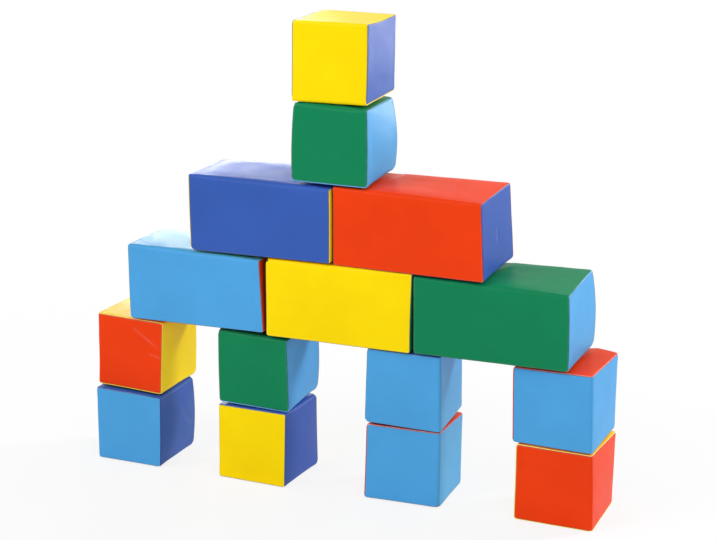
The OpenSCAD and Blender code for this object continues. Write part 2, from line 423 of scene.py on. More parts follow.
def calmed(moves, quads):
    """The moves with what changes from one point to the next taken out."""
    ends = np.concatenate([quads[:, [k, (k + 1) % 4]] for k in range(4)])
    count = np.bincount(ends[:, 0], minlength=len(moves))
    for _ in range(CALM_ROUNDS):
        total = np.zeros_like(moves)
        np.add.at(total, ends[:, 0], moves[ends[:, 1]])
        moves = (moves + total / count[:, None]) / 2
    return moves


def swollen(points, quads, seams):
    """The points of a skin after a short simulation under pressure, with its seams pinned."""
    mesh = bpy.data.meshes.new("skin")
    mesh.from_pydata(points.tolist(), [], quads.tolist())
    skin = bpy.data.objects.new("skin", mesh)
    scene.collection.objects.link(skin)
    group = skin.vertex_groups.new(name="seams")
    group.add(np.flatnonzero(seams).tolist(), 1.0, "REPLACE")
    cloth = skin.modifiers.new("cloth", "CLOTH")
    for name, value in CLOTH_SETTINGS.items():
        setattr(cloth.settings, name, value)
    cloth.settings.effector_weights.gravity = 0
    cloth.collision_settings.use_collision = False
    cloth.point_cache.frame_start = 1
    cloth.point_cache.frame_end = FRAMES
    for moment in range(1, FRAMES + 1):
        scene.frame_set(moment)
    solved = skin.evaluated_get(bpy.context.evaluated_depsgraph_get()).data
    after = np.empty(len(solved.vertices) * 3, np.float32)
    solved.vertices.foreach_get("co", after)
    moves = after.reshape(-1, 3).astype(float) - points
    bpy.data.objects.remove(skin)
    bpy.data.meshes.remove(mesh)
    scene.frame_set(1)
    moves = calmed(moves, quads)
    length = np.linalg.norm(moves, axis=1, keepdims=True)
    return points + moves * np.minimum(1, MOST_MOVE / np.maximum(length, 1e-9))


# %% Shape every cover
# Where the load on a top ends: to which side of it the top is free, and from which place along x in mm
LOAD_ENDS = {
    "high_brick_1": (-1, 80),
    "high_brick_2": (1, -105),
    "low_brick_1": (-1, -15),
    "low_brick_3": (1, -35),
    "leg_cube_1": (-1, 0),
    "leg_cube_4": (1, 5),
}
FREE_RISE, FREE_RAMP = 8 * MM, 70 * MM


def highest(block, points, half):
    """How high each point may lie: level under a load, and higher where the top is free."""
    if block not in LOAD_ENDS:
        return half[2]
    side, end = LOAD_ENDS[block]
    return half[2] + FREE_RISE * smooth(side * (points[:, 0] - end * MM), 0, FREE_RAMP)


forms = {}
skins = {}
started = time.time()
for block in BLOCKS:
    lay = lay_of(block)
    half = half_size(block)
    laid_half = np.abs(lay @ half)
    strips = pattern(half)
    plain, quads, index, seams = sewn(strips)
    laid = plain @ lay.T
    folds = fold_moves(plain, half, SOFT_FOLDS.get(block, FOLD_RADIUS)) @ lay.T
    points = laid + folds + soft_moves(block, laid, laid_half) + wave_moves(block, laid)
    points = swollen(points, quads, seams)
    for inward, depth, near in creases(block, laid, laid_half):
        points += near[:, None] * depth * inward
    points[:, 2] = np.clip(points[:, 2], -laid_half[2], highest(block, laid, laid_half))
    whole = points[index]
    size = strips[0].shape[0] * strips[0].shape[1]
    forms[block] = (whole[:size].reshape(strips[0].shape), whole[size:].reshape(strips[1].shape))
    skins[block] = (points, quads)
print("Covers shaped:", len(forms), "in", round(time.time() - started, 1), "s")

# %% [markdown]
# ## Finishes
# Coated cloth has a fine pebbled grain, a satin sheen that varies a little, and paler edges and a dark line along
# its seams. The paler edges are partly scuffs and partly a painted highlight, and the dark line is painted shade
# where the seam's groove lies in shadow. The grain is a Voronoi pattern in a bump node, because a pebble is far too
# small to model, and the paler edges and the painted shade follow two attributes that every point of a strip
# carries. Foam, tape, teeth, thread and the slider's metal have finishes of their own.

# %% Node helpers
def linear(red, green, blue):
    """A colour as a screen shows it, from 0 to 255, as linear light."""
    return tuple((c / 12.92 if c <= 0.04045 else ((c + 0.055) / 1.055) ** 2.4) for c in
                 (value / 255 for value in (red, green, blue))) + (1.0,)


class Finish:
    """A material with its nodes, and short ways to add and join them."""

    def __init__(self, name):
        self.material = bpy.data.materials.new(name)
        self.material.use_nodes = True
        self.nodes = self.material.node_tree.nodes
        self.shader = self.nodes["Principled BSDF"]
        self.place = self.add("ShaderNodeTexCoord").outputs["Object"]

    def add(self, kind, **values):
        node = self.nodes.new(kind)
        for name, value in values.items():
            setattr(node, name, value)
        return node

    def join(self, source, target):
        self.material.node_tree.links.new(source, target)

    def noise(self, scale, detail=3.0, roughness=0.5):
        node = self.add("ShaderNodeTexNoise")
        node.inputs["Scale"].default_value = scale
        node.inputs["Detail"].default_value = detail
        node.inputs["Roughness"].default_value = roughness
        self.join(self.place, node.inputs["Vector"])
        return node.outputs["Fac"]

    def cells(self, scale, feature="DISTANCE_TO_EDGE"):
        node = self.add("ShaderNodeTexVoronoi", feature=feature)
        node.inputs["Scale"].default_value = scale
        self.join(self.place, node.inputs["Vector"])
        return node.outputs["Distance"]

    def spread(self, source, low, high, to_low=0.0, to_high=1.0):
        node = self.add("ShaderNodeMapRange")
        for name, value in zip(("From Min", "From Max", "To Min", "To Max"), (low, high, to_low, to_high)):
            node.inputs[name].default_value = value
        self.join(source, node.inputs["Value"])
        return node.outputs["Result"]

    def times(self, first, second):
        node = self.add("ShaderNodeMath", operation="MULTIPLY")
        self.join(first, node.inputs[0])
        self.join(second, node.inputs[1])
        return node.outputs["Value"]

    def mix(self, factor, first, second):
        """Mixes two colours, each a colour or a socket, by a socket."""
        node = self.add("ShaderNodeMix", data_type="RGBA")
        self.join(factor, node.inputs["Factor"])
        for socket, value in ((node.inputs[6], first), (node.inputs[7], second)):
            if isinstance(value, tuple):
                socket.default_value = value
            else:
                self.join(value, socket)
        return node.outputs[2]

    def bump(self, height, depth, strength, below=None):
        node = self.add("ShaderNodeBump")
        node.inputs["Strength"].default_value = strength
        node.inputs["Distance"].default_value = depth
        self.join(height, node.inputs["Height"])
        if below is not None:
            self.join(below, node.inputs["Normal"])
        return node.outputs["Normal"]

    def set(self, **sockets):
        """Sets or links the shader's sockets, named with _ for a space."""
        for name, value in sockets.items():
            socket = self.shader.inputs[name.replace("_", " ")]
            if isinstance(value, bpy.types.NodeSocket):
                self.join(value, socket)
            else:
                socket.default_value = value


def shade(colour, factor):
    return tuple(min(1.0, value * factor) for value in colour[:3]) + (1.0,)


def paler(colour, share):
    return tuple(value + (1 - value) * share for value in colour[:3]) + (1.0,)


# %% Coated cloth
CLOTH_COLOURS = {
    "yellow": linear(255, 219, 0),
    "red": linear(236, 62, 12),
    "green": linear(16, 128, 82),
    "blue": linear(56, 92, 176),
    "sky": linear(78, 162, 221),
}


# Scales of the cloth's patterns, in waves or cells to a metre
CLOUDS, SHEEN_PATCHES, DIPS, SCUFF_AND_HIGHLIGHT_PATCHES, PEBBLES, SPECKS, FINE_GRAIN = 6, 25, 38, 45, 850, 900, 2400
SATIN = (0.31, 0.38)


def coated_cloth(word, colour):
    finish = Finish("coated_cloth_" + word)
    cloud = finish.spread(finish.noise(CLOUDS, 4), 0.3, 0.7)
    tone = finish.mix(cloud, shade(colour, 0.94), shade(colour, 1.05))
    speck = finish.spread(finish.noise(SPECKS, 2), 0.35, 0.65)
    tone = finish.mix(finish.spread(speck, 0, 1, 0, 0.12), tone, shade(colour, 0.8))
    # Paler near seams and creases: partly scuffed cloth, partly a painted highlight on the rolled edges
    scuff_and_highlight = finish.add("ShaderNodeAttribute", attribute_name="scuff_and_highlight").outputs["Fac"]
    patchy = finish.spread(finish.noise(SCUFF_AND_HIGHLIGHT_PATCHES, 5, 0.6), 0.35, 0.75, 0.2, 0.65)
    tone = finish.mix(finish.times(scuff_and_highlight, patchy), tone, paler(colour, 0.6))
    # Darker along the seams: painted shade in the seam's groove
    dust = finish.add("ShaderNodeAttribute", attribute_name="dust").outputs["Fac"]
    tone = finish.mix(dust, tone, shade(colour, 0.2))
    grain = finish.bump(finish.cells(PEBBLES), 0.12 * MM, 0.5)
    grain = finish.bump(finish.noise(FINE_GRAIN, 2), 0.05 * MM, 0.4, grain)
    grain = finish.bump(finish.noise(DIPS, 2), 0.5 * MM, 0.08, grain)
    sheen = finish.spread(finish.noise(SHEEN_PATCHES, 4), 0.3, 0.7, *SATIN)
    finish.set(Base_Color=tone, Roughness=sheen, Normal=grain, Specular_IOR_Level=0.07)
    return finish.material


cloths = {word: coated_cloth(word, colour) for word, colour in CLOTH_COLOURS.items()}


# %% Foam, tape, teeth, thread and metal
def foam_finish():
    finish = Finish("open_cell_foam")
    pore = finish.cells(420)
    tone = finish.mix(finish.spread(pore, 0, 0.3), linear(196, 172, 118), linear(244, 232, 190))
    tone = finish.mix(finish.spread(finish.noise(9, 3), 0.3, 0.8, 0, 0.4), tone, linear(232, 205, 140))
    finish.set(Base_Color=tone, Roughness=0.95, Normal=finish.bump(pore, 0.8 * MM, 0.8))
    return finish.material


def tape_finish():
    finish = Finish("woven_tape")
    weave = finish.add("ShaderNodeTexWave", wave_type="BANDS", bands_direction="DIAGONAL")
    weave.inputs["Scale"].default_value = 700
    finish.join(finish.place, weave.inputs["Vector"])
    rib = weave.outputs["Fac"]
    tone = finish.mix(rib, linear(26, 27, 30), linear(52, 54, 60))
    finish.set(Base_Color=tone, Roughness=0.85, Normal=finish.bump(rib, 0.15 * MM, 0.6))
    return finish.material


def teeth_finish():
    finish = Finish("moulded_teeth")
    tone = finish.mix(finish.noise(120, 3), linear(34, 35, 38), linear(62, 64, 68))
    sheen = finish.spread(finish.noise(300, 2), 0.3, 0.7, 0.28, 0.42)
    finish.set(Base_Color=tone, Roughness=sheen)
    return finish.material


def thread_finish():
    finish = Finish("polyester_thread")
    twist = finish.noise(2600, 1)
    tone = finish.mix(twist, linear(178, 178, 174), linear(238, 238, 232))
    finish.set(Base_Color=tone, Roughness=0.6, Normal=finish.bump(twist, 0.08 * MM, 0.6))
    return finish.material


def metal_finish():
    finish = Finish("nickel_plate")
    masks = finish.spread(finish.noise(420, 5, 0.7), 0.35, 0.7)
    tone = finish.mix(masks, linear(176, 174, 168), linear(222, 221, 216))
    finish.set(Base_Color=tone, Metallic=1.0, Roughness=finish.spread(masks, 0, 1, 0.22, 0.4))
    return finish.material


foam_material = foam_finish()
tape_material = tape_finish()
teeth_material = teeth_finish()
thread_material = thread_finish()
metal_material = metal_finish()
print("Finishes:", [material.name for material in bpy.data.materials if material.use_nodes][-10:])

# %% [markdown]
# ## Sewing the strips
# The simulated grids are read along smooth curves at a finer step, with lines packed close beside the seams. A
# subdivision surface would be simpler, but it would draw the edges of a strip in and leave a gap at each seam.
# At a seam the first strip's edge is turned in. On some blocks the second strip closes over it with a narrow lip,
# so a line of its colour frames the faces of the first, with a dark line of painted shade beside it, and on others
# the seam is flush. The thread also puckers the cloth a little. Solidify then gives the strip its thickness. The
# zip's window is left open in the first strip, with its edge turned under.

# %% Reading a grid along smooth curves
# The step from line to line, and the places of the lines beside an edge, in cells of the grid
STEP = 0.7
EDGE_LINES = np.array([0, 0.12, 0.3, 0.55, 0.85, 1.25])


def lines(count, marks=()):
    """Where a strip of count cells is read: closer beside its ends, and on each mark."""
    last = EDGE_LINES[-1]
    middle = np.linspace(last, count - last, round((count - 2 * last) / STEP) + 1)
    at = np.unique(np.concatenate([EDGE_LINES, middle, count - EDGE_LINES]))
    for mark in marks:
        at[np.argmin(np.abs(at - mark))] = mark
    return at


def reader(count, at):
    """Weights that read a row of samples at the given places, on a curve through all of them."""
    cell = np.clip(np.floor(at).astype(int), 0, count - 1)
    f = at - cell
    weights = [(-f + 2 * f**2 - f**3) / 2, (2 - 5 * f**2 + 3 * f**3) / 2,
               (f + 4 * f**2 - 3 * f**3) / 2, (f**3 - f**2) / 2]
    matrix = np.zeros((len(at), count + 3))
    for k, weight in enumerate(weights):
        matrix[np.arange(len(at)), cell + k] += weight
    matrix[:, 1] += 2 * matrix[:, 0]
    matrix[:, 2] -= matrix[:, 0]
    matrix[:, -2] += 2 * matrix[:, -1]
    matrix[:, -3] -= matrix[:, -1]
    return matrix[:, 1:-1]


def unit(vectors):
    return vectors / np.maximum(np.linalg.norm(vectors, axis=-1, keepdims=True), 1e-12)


print("Lines over a cube's face:", len(lines(round(CUBE / CELL))))

# %% Where a lip stands over the seam
# How far a lip reaches over the first strip at the sides of a block, at its foot and at its top, in mm
LIPS = {
    "top_cube": (0.4, 3.0, 0.4),
    "tower_cube": (0.4, 2.3, 0.4),
    "high_brick_1": (1.6, 0.3, 0.3),
    "leg_cube_1": (1.6, 1.8, 1.6),
    "leg_cube_2": (0.4, 2.3, 0.4),
    "leg_cube_4": (1.8, 0.3, 1.8),
    "foot_cube_3": (1.8, 0.3, 1.8),
    "foot_cube_4": (2.0, 1.4, 2.0),
}
PLAIN_LIP = (0.3, 0.3, 0.3)
# Up to which width a seam counts as flush, and from which one it is a full lip
FLUSH, PROUD = 0.4 * MM, 1.2 * MM
# Where the sides of a block pass into its foot, above the floor, and into its top, against the top's height
FOOT_BAND, TOP_BAND = (4 * MM, 14 * MM), (-14 * MM, -6 * MM)


def lip_at(block, heights):
    """How wide the lip is at each height above the middle of a laid block."""
    side, foot, top = LIPS.get(block, PLAIN_LIP)
    low = 1 - smooth(heights + CUBE / 2, *FOOT_BAND)
    high = smooth(heights - CUBE / 2, *TOP_BAND)
    return (side + (foot - side) * low + (top - side) * high) * MM


def proud_at(block, heights):
    """Whether the second strip stands over the first as a lip at each height, from 0 for a flush seam to 1."""
    return smooth(lip_at(block, heights), FLUSH, PROUD)


print("Blocks with a lip:", sorted(LIPS))

# %% Rolling the edges in
# How deep an edge is rolled in where the seam is flush and where a lip stands over it
ROLL_DEPTHS = {"tucked": (0.35 * MM, 1.3 * MM), "lip": (1.0 * MM, 0.3 * MM)}
ROLL_WIDTH = 2.6 * MM
PUCKER, PUCKER_STEP = 0.1 * MM, 12 * MM
PUCKER_START, PUCKER_WIDTH = 3 * MM, 9 * MM
# The puckers' step drifts: size and pace of each drift, and its share of the seed
PUCKER_DRIFTS = ((1.7, 31, 1), (0.9, 73, 2))


def rolled(grid, rows, columns, seed, depths, proud):
    """Rolls a strip's edges in. Returns its points, distances from the seam, ways past its edge and normals."""
    along = unit(np.gradient(grid, axis=0))
    across = unit(np.gradient(grid, axis=1))
    normal = unit(np.cross(across, along))
    row_gap = [(rows - rows[0]) * CELL, (rows[-1] - rows) * CELL]
    column_gap = [(columns - columns[0]) * CELL, (columns[-1] - columns) * CELL]
    gaps = [np.broadcast_to(g[:, None], grid.shape[:2]) for g in row_gap]
    gaps += [np.broadcast_to(g[None, :], grid.shape[:2]) for g in column_gap]
    outward = [-along, along, -across, across]
    distance, second = np.sort(np.stack(gaps), axis=0)[:2]
    past = np.zeros_like(grid)
    for gap, way in zip(gaps, outward):
        past = past + np.exp(-(gap / ROLL_WIDTH) ** 2)[..., None] * way
    roll = np.exp(-(distance / ROLL_WIDTH) ** 2)[..., None] * normal + past
    run = (rows[:, None] + columns[None, :]) * CELL
    drift = sum(size * np.sin(run * pace + share * seed) for size, pace, share in PUCKER_DRIFTS)
    pucker = PUCKER * np.sin(2 * math.pi * run / PUCKER_STEP + drift)
    pucker = pucker * np.exp(-(distance / PUCKER_WIDTH) ** 2) * smooth(distance, 0, PUCKER_START)
    depth = depths[0] + (depths[1] - depths[0]) * proud
    points = grid - depth[..., None] * roll + pucker[..., None] * normal
    return points, (distance, second), past, normal


# %% Scuffs, painted highlights and painted shade
# The dark line along a seam is painted shade, where the seam's groove lies in shadow
PAINTED_SHADE, FLUSH_PAINTED_SHADE = 0.8, 0.5
PAINTED_SHADE_START, PAINTED_SHADE_WIDTH = 0.2 * MM, 1.8 * MM
# The paler edge of a seam is partly scuffed cloth and partly a painted highlight where light from behind catches the
# rolled edge
TUCKED_SCUFF_AND_HIGHLIGHT, LIP_SCUFF_AND_HIGHLIGHT, TOP_SCUFF_AND_HIGHLIGHT = 0.4, 0.3, 1.0
SCUFF_AND_HIGHLIGHT_WIDTH = 3.5 * MM
# Against the top's height, where the lip gets the most painted highlight
TOP_HIGHLIGHT_BAND = (-8 * MM, -4 * MM)
# The painted shade leaves the corners clear, and is weaker on tops, where light from behind reaches into the groove
CLEAR_CORNER = (3 * MM, 9 * MM)
CLEAR_TOP = 0.8


def scuff_highlight_and_shade(block, edge_kind, distance, second, heights, level):
    """The paler seam edge, partly scuff and partly painted highlight, and the painted shade along the seam of each
    point of a strip, from its distances to its two nearest seams and its place.
    """
    if edge_kind == "lip":
        high = smooth(heights - CUBE / 2, *TOP_HIGHLIGHT_BAND)
        flush = 1 - proud_at(block, heights)
        dust = FLUSH_PAINTED_SHADE * flush * (1 - high) * (1 - smooth(distance, 0, PAINTED_SHADE_WIDTH))
        most = LIP_SCUFF_AND_HIGHLIGHT + (TOP_SCUFF_AND_HIGHLIGHT - LIP_SCUFF_AND_HIGHLIGHT) * high
        return most * (1 - smooth(distance, 0, SCUFF_AND_HIGHLIGHT_WIDTH)), dust
    bare = distance - lip_at(block, heights)
    off_corner = smooth(second, *CLEAR_CORNER)
    dust = PAINTED_SHADE * (1 - smooth(bare, PAINTED_SHADE_START, PAINTED_SHADE_WIDTH)) * off_corner * (1 - CLEAR_TOP * np.clip(level, 0, 1))
    return TUCKED_SCUFF_AND_HIGHLIGHT * (1 - smooth(bare, 0, SCUFF_AND_HIGHLIGHT_WIDTH)), dust


# %% Rings of points round an edge
# How far each ring lies in from the strip's face, in mm or as a share of a lip, and how far out past it, in mm
LIP_RINGS = ((0.3, 0.25), (0.74, 0.25), (1.0, -0.3), (1.0, -1.6))
FLUSH_RINGS = ((0.2, -0.2), (0.5, -0.5), (0.9, -0.9), (1.8, -1.8))
TUCKED_RINGS = ((1.1, -1.1), (5, -5))


def border(rows, columns):
    """The points round the edge of a grid, anticlockwise as seen from outside."""
    index = np.arange(rows * columns).reshape(rows, columns)
    return np.concatenate([index[0, :-1], index[:-1, -1], index[-1, :0:-1], index[:0:-1, 0]])


def hole(rows, columns, low, high, start, end):
    """The points round a window in a grid, clockwise as seen from outside."""
    index = np.arange(rows * columns).reshape(rows, columns)[low:high + 1, start:end + 1]
    return np.concatenate([index[0, :0:-1], index[:-1, 0], index[-1, :-1], index[:0:-1, -1]])


def flange(points, faces, loop, rings):
    """Adds rings of points outside a loop, with the faces that join them."""
    count = len(loop)
    inner = loop
    for ring in rings:
        outer = len(points) + np.arange(count)
        points = np.concatenate([points, ring])
        band = np.stack([np.roll(inner, -1), inner, outer, np.roll(outer, -1)], axis=1)
        faces = np.concatenate([faces, band])
        inner = outer
    return points, faces


def edge_rings(block, edge_kind, edge, normal, past):
    """The rings past a strip's edge: turned in, or over the first strip where it has a lip."""
    if edge_kind == "tucked":
        return [edge - depth * MM * normal + reach * MM * past for depth, reach in TUCKED_RINGS]
    lip = lip_at(block, edge[:, 2])[:, None]
    proud = proud_at(block, edge[:, 2])[:, None]
    rings = []
    for (share, over), (depth, behind) in zip(LIP_RINGS, FLUSH_RINGS):
        inward = proud * share * lip + (1 - proud) * depth * MM
        outward = (proud * over + (1 - proud) * behind) * MM
        rings.append(edge - inward * normal + outward * past)
    return rings


# %% The zip's window
ZIP_HEIGHT = -60 * MM
ZIP_CROWN = 5 * MM
ZIP_WINDOW = 11 * MM
ZIP_END = 19 * MM
# How far out from the middle of a block the zip lies, and how the face leans there
ZIP_OUT = CUBE / 2 - ZIP_CROWN * (ZIP_HEIGHT / (CUBE / 2)) ** 2
ZIP_SLOPE = -2 * ZIP_CROWN * ZIP_HEIGHT / (CUBE / 2) ** 2
# Below and above the zip, where its straight cloth ends and where it is fully straight
ZIP_FIELD = (-40 * MM, -12 * MM, 12 * MM, 55 * MM)
ZIP_MARGIN = 4 * MM
FACE_CELLS = round(CUBE / CELL)


def zip_window(half_length):
    """Half the length of the window in a block of the given half length."""
    return half_length - ZIP_END


def zip_marks(half_length, row_count, column_count):
    """Between which rows and which columns of a first strip's grid the zip's window lies."""
    middle = row_count - FACE_CELLS / 2 - ZIP_HEIGHT / CUBE * FACE_CELLS
    reach = ZIP_WINDOW / 2 / CUBE * FACE_CELLS
    side = zip_window(half_length) / half_length * column_count / 2
    return (middle - reach, middle + reach), (column_count / 2 - side, column_count / 2 + side)


def zip_straight(points, rows, columns, half_length):
    """Lays the cloth beside the zip straight, where the pattern has it, in the frame in which it was sewn."""
    x = (columns / columns[-1] - 0.5) * 2 * half_length
    z = CUBE / 2 - (rows - rows[-1] + FACE_CELLS) / FACE_CELLS * CUBE
    field = np.interp(z - ZIP_HEIGHT, ZIP_FIELD, (0, 1, 1, 0))[:, None]
    ends = (zip_window(half_length) + ZIP_MARGIN, half_length)
    field = field * np.interp(np.abs(x), ends, (1, 0))[None, :]
    straight = np.empty_like(points)
    straight[..., 0] = x[None, :]
    straight[..., 1] = ZIP_OUT + ZIP_SLOPE * (z - ZIP_HEIGHT)[:, None]
    straight[..., 2] = z[:, None]
    return points + field[..., None] * (straight - points)


def opened(faces, shape, rows, columns, marks):
    """Takes the faces of the zip's window out of a grid. Returns the others and the points round the window."""
    low, high = (int(np.argmin(np.abs(rows - mark))) for mark in marks[0])
    start, end = (int(np.argmin(np.abs(columns - mark))) for mark in marks[1])
    keep = np.ones((shape[0] - 1, shape[1] - 1), bool)
    keep[low:high, start:end] = False
    return faces[keep.reshape(-1)], hole(*shape, low, high, start, end)


print("Windows in mm:", [round(2 * zip_window(length / 2) / MM) for length in (CUBE, BRICK_LENGTH)])

# %% Making a strip
TURN_IN = 8 * MM
RIM_DEPTH = 0.5 * MM
CREASE_NARROWS = 3


def strip_piece(block, node, grid, with_zip, seed):
    """Makes a strip from its simulated grid. Returns its object and the size that it was cut to."""
    edge_kind = "tucked" if with_zip else "lip"
    lay, half = lay_of(block), half_size(block)
    row_count, column_count = grid.shape[0] - 1, grid.shape[1] - 1
    marks = zip_marks(half[0], row_count, column_count) if with_zip else ((), ())
    rows, columns = lines(row_count, marks[0]), lines(column_count, marks[1])
    fine = np.einsum("ai,ijk,bj->abk", reader(row_count, rows), grid, reader(column_count, columns))
    if with_zip:
        fine = zip_straight(fine @ lay, rows, columns, half[0]) @ lay.T
    proud = proud_at(block, fine[..., 2])
    points, distances, past, normal = rolled(fine, rows, columns, seed, ROLL_DEPTHS[edge_kind], proud)
    # Paler seam edges are partly scuff and partly painted highlight; the dark seam line is painted shade
    scuff_and_highlight, dust = scuff_highlight_and_shade(block, edge_kind, *distances, points[..., 2], normal[..., 2])
    # Each crease adds a painted highlight along its line
    for _, _, near in creases(block, fine, np.abs(lay @ half)):
        scuff_and_highlight = scuff_and_highlight + CREASE_HIGHLIGHT * near ** CREASE_NARROWS
    shape = points.shape[:2]
    points, normal, past = (part.reshape(-1, 3) for part in (points, normal, past))
    scuff_and_highlight, dust = scuff_and_highlight.reshape(-1), dust.reshape(-1)
    loop = border(*shape)
    rings = edge_rings(block, edge_kind, points[loop], normal[loop], past[loop])
    masks = {"scuff_and_highlight": [scuff_and_highlight] + [scuff_and_highlight[loop]] * len(rings), "dust": [dust] + [dust[loop]] * len(rings)}
    faces = grid_quads(*shape)
    if with_zip:
        faces, rim = opened(faces, shape, rows, columns, marks)
    all_points, faces = flange(points, faces, loop, rings)
    if with_zip:
        all_points, faces = flange(all_points, faces, rim, [points[rim] - RIM_DEPTH * normal[rim]])
        # The turned-under rim of the zip's window gets painted shade
        masks["scuff_and_highlight"].append(np.zeros(len(rim)))
        masks["dust"].append(np.full(len(rim), PAINTED_SHADE))
    masks = {word: np.concatenate(parts) for word, parts in masks.items()}
    across, along = np.meshgrid(columns * CELL, rows * CELL)
    sheet_uv = np.zeros((len(all_points), 2))
    sheet_uv[:len(points)] = np.stack([across, along], axis=-1).reshape(-1, 2)
    piece = cloth_object(node.replace("strip", "cover"), all_points, faces, masks, sheet_uv)
    piece.data.materials.append(cloths[colour_of(node)])
    piece.data.transform(stand_of(block))
    size = tuple(float(np.ptp(at)) * CELL + 2 * TURN_IN for at in (columns, rows))
    return piece, size


# %% Cloth as an object
CLOTH = 0.9 * MM


def cloth_object(name, points, faces, masks, sheet_uv):
    """A mesh object of cloth with its scuffs, painted highlights and painted shade, its flat map and its thickness.
    """
    used = np.unique(faces)
    renumber = np.zeros(len(points), int)
    renumber[used] = np.arange(len(used))
    faces = renumber[faces]
    mesh = bpy.data.meshes.new(name)
    mesh.from_pydata(points[used].tolist(), [], faces.tolist())
    for word, values in masks.items():
        mesh.attributes.new(word, "FLOAT", "POINT").data.foreach_set("value", values[used].astype(np.float32))
    uv = mesh.uv_layers.new(name="cloth")
    uv.data.foreach_set("uv", sheet_uv[used][faces.reshape(-1)].astype(np.float32).ravel())
    mesh.shade_smooth()
    piece = bpy.data.objects.new(name, mesh)
    scene.collection.objects.link(piece)
    wall = piece.modifiers.new("thickness", "SOLIDIFY")
    wall.thickness = CLOTH
    wall.offset = -1
    return piece


# %% [markdown]
# ## Dressing the blocks
# The foam under a cover is the same skin, drawn in a little, so it fills the cover wherever it swells. It can't be
# seen while the cover is shut, but it belongs to the object and shows when a cover is taken off in a later scene.
# Each piece rides on its block and stands for one CAD node.

# %% Foam and covers
FOAM_GAP = 4 * MM
strip_count = 0
for number, block in enumerate(BLOCKS):
    foam_node, first_node, second_node = members(block)
    points, quads = skins[block]
    mesh = bpy.data.meshes.new(block + "_foam_core")
    mesh.from_pydata(points.tolist(), [], quads.tolist())
    inside = np.array([vertex.normal for vertex in mesh.vertices]) * -FOAM_GAP
    mesh.vertices.foreach_set("co", (points + inside).astype(np.float32).ravel())
    mesh.transform(stand_of(block))
    mesh.materials.append(foam_material)
    mesh.shade_smooth()
    foam = bpy.data.objects.new(block + "_foam_core", mesh)
    scene.collection.objects.link(foam)
    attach(foam, block)
    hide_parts(foam_node)
    for node, grid, with_zip in ((first_node, forms[block][0], True), (second_node, forms[block][1], False)):
        piece, size = strip_piece(block, node, grid, with_zip, number + 1)
        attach(piece, block)
        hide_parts(node)
        colour_of(node) + "_vinyl"
        strip_count += 1
print("Strips sewn:", strip_count)

# %% [markdown]
# ## The zips
# A zip is a woven tape, two rows of teeth that lock into each other and a line of stitching round its window.
# Teeth and stitches repeat by the hundred, so each is one small shape that Geometry Nodes set along a line. A tree
# is run once for the cubes' length and once for the bricks', and its mesh is then copied to each block.

# %% Node tree helpers
def new_tree(name, sizes):
    """An empty tree with a geometry input, an input for each size, and a material input."""
    tree = bpy.data.node_groups.new(name, "GeometryNodeTree")
    tree.interface.new_socket("Geometry", in_out="OUTPUT", socket_type="NodeSocketGeometry")
    tree.interface.new_socket("Geometry", in_out="INPUT", socket_type="NodeSocketGeometry")
    for size in sizes:
        tree.interface.new_socket(size, in_out="INPUT", socket_type="NodeSocketFloat")
    tree.interface.new_socket("Material", in_out="INPUT", socket_type="NodeSocketMaterial")
    return tree


class Tree:
    """Short ways to add and join the nodes of a tree."""

    def __init__(self, tree):
        self.tree = tree
        self.inputs = tree.nodes.new("NodeGroupInput").outputs

    def add(self, kind, links=(), **values):
        node = self.tree.nodes.new(kind)
        for name, value in values.items():
            setattr(node, name, value)
        for socket, source in dict(links).items():
            target = node.inputs[socket]
            if isinstance(source, bpy.types.NodeSocket):
                self.tree.links.new(source, target)
            else:
                target.default_value = source
        return node

    def math(self, operation, first, second):
        node = self.add("ShaderNodeMath", {0: first, 1: second}, operation=operation)
        return node.outputs[0]

    def vector(self, x, y, z):
        return self.add("ShaderNodeCombineXYZ", {"X": x, "Y": y, "Z": z}).outputs[0]

    def join(self, *sources):
        node = self.add("GeometryNodeJoinGeometry")
        for source in sources:
            self.tree.links.new(source, node.inputs[0])
        return node.outputs[0]

    def along_path(self, step):
        path = self.add("GeometryNodeMeshToCurve", {"Mesh": self.inputs["Geometry"]})
        node = self.add("GeometryNodeResampleCurve", {"Curve": path.outputs[0], "Length": step}, mode="LENGTH")
        return node.outputs[0]

    def finish(self, instances):
        real = self.add("GeometryNodeRealizeInstances", {0: instances})
        painted = self.add("GeometryNodeSetMaterial", {"Geometry": real.outputs[0],
                                                       "Material": self.inputs["Material"]})
        self.tree.links.new(painted.outputs[0], self.tree.nodes.new("NodeGroupOutput").inputs[0])
        return self.tree


# %% The tree of teeth
TOOTH_SIDES = 8
# A tooth's width against its pitch, its wall and its crown against its height, and its ridge against its sole
TOOTH_WIDTH, TOOTH_WALL, TOOTH_CROWN, RIDGE_SHARE = 1.5, 0.6, 0.4, 0.6


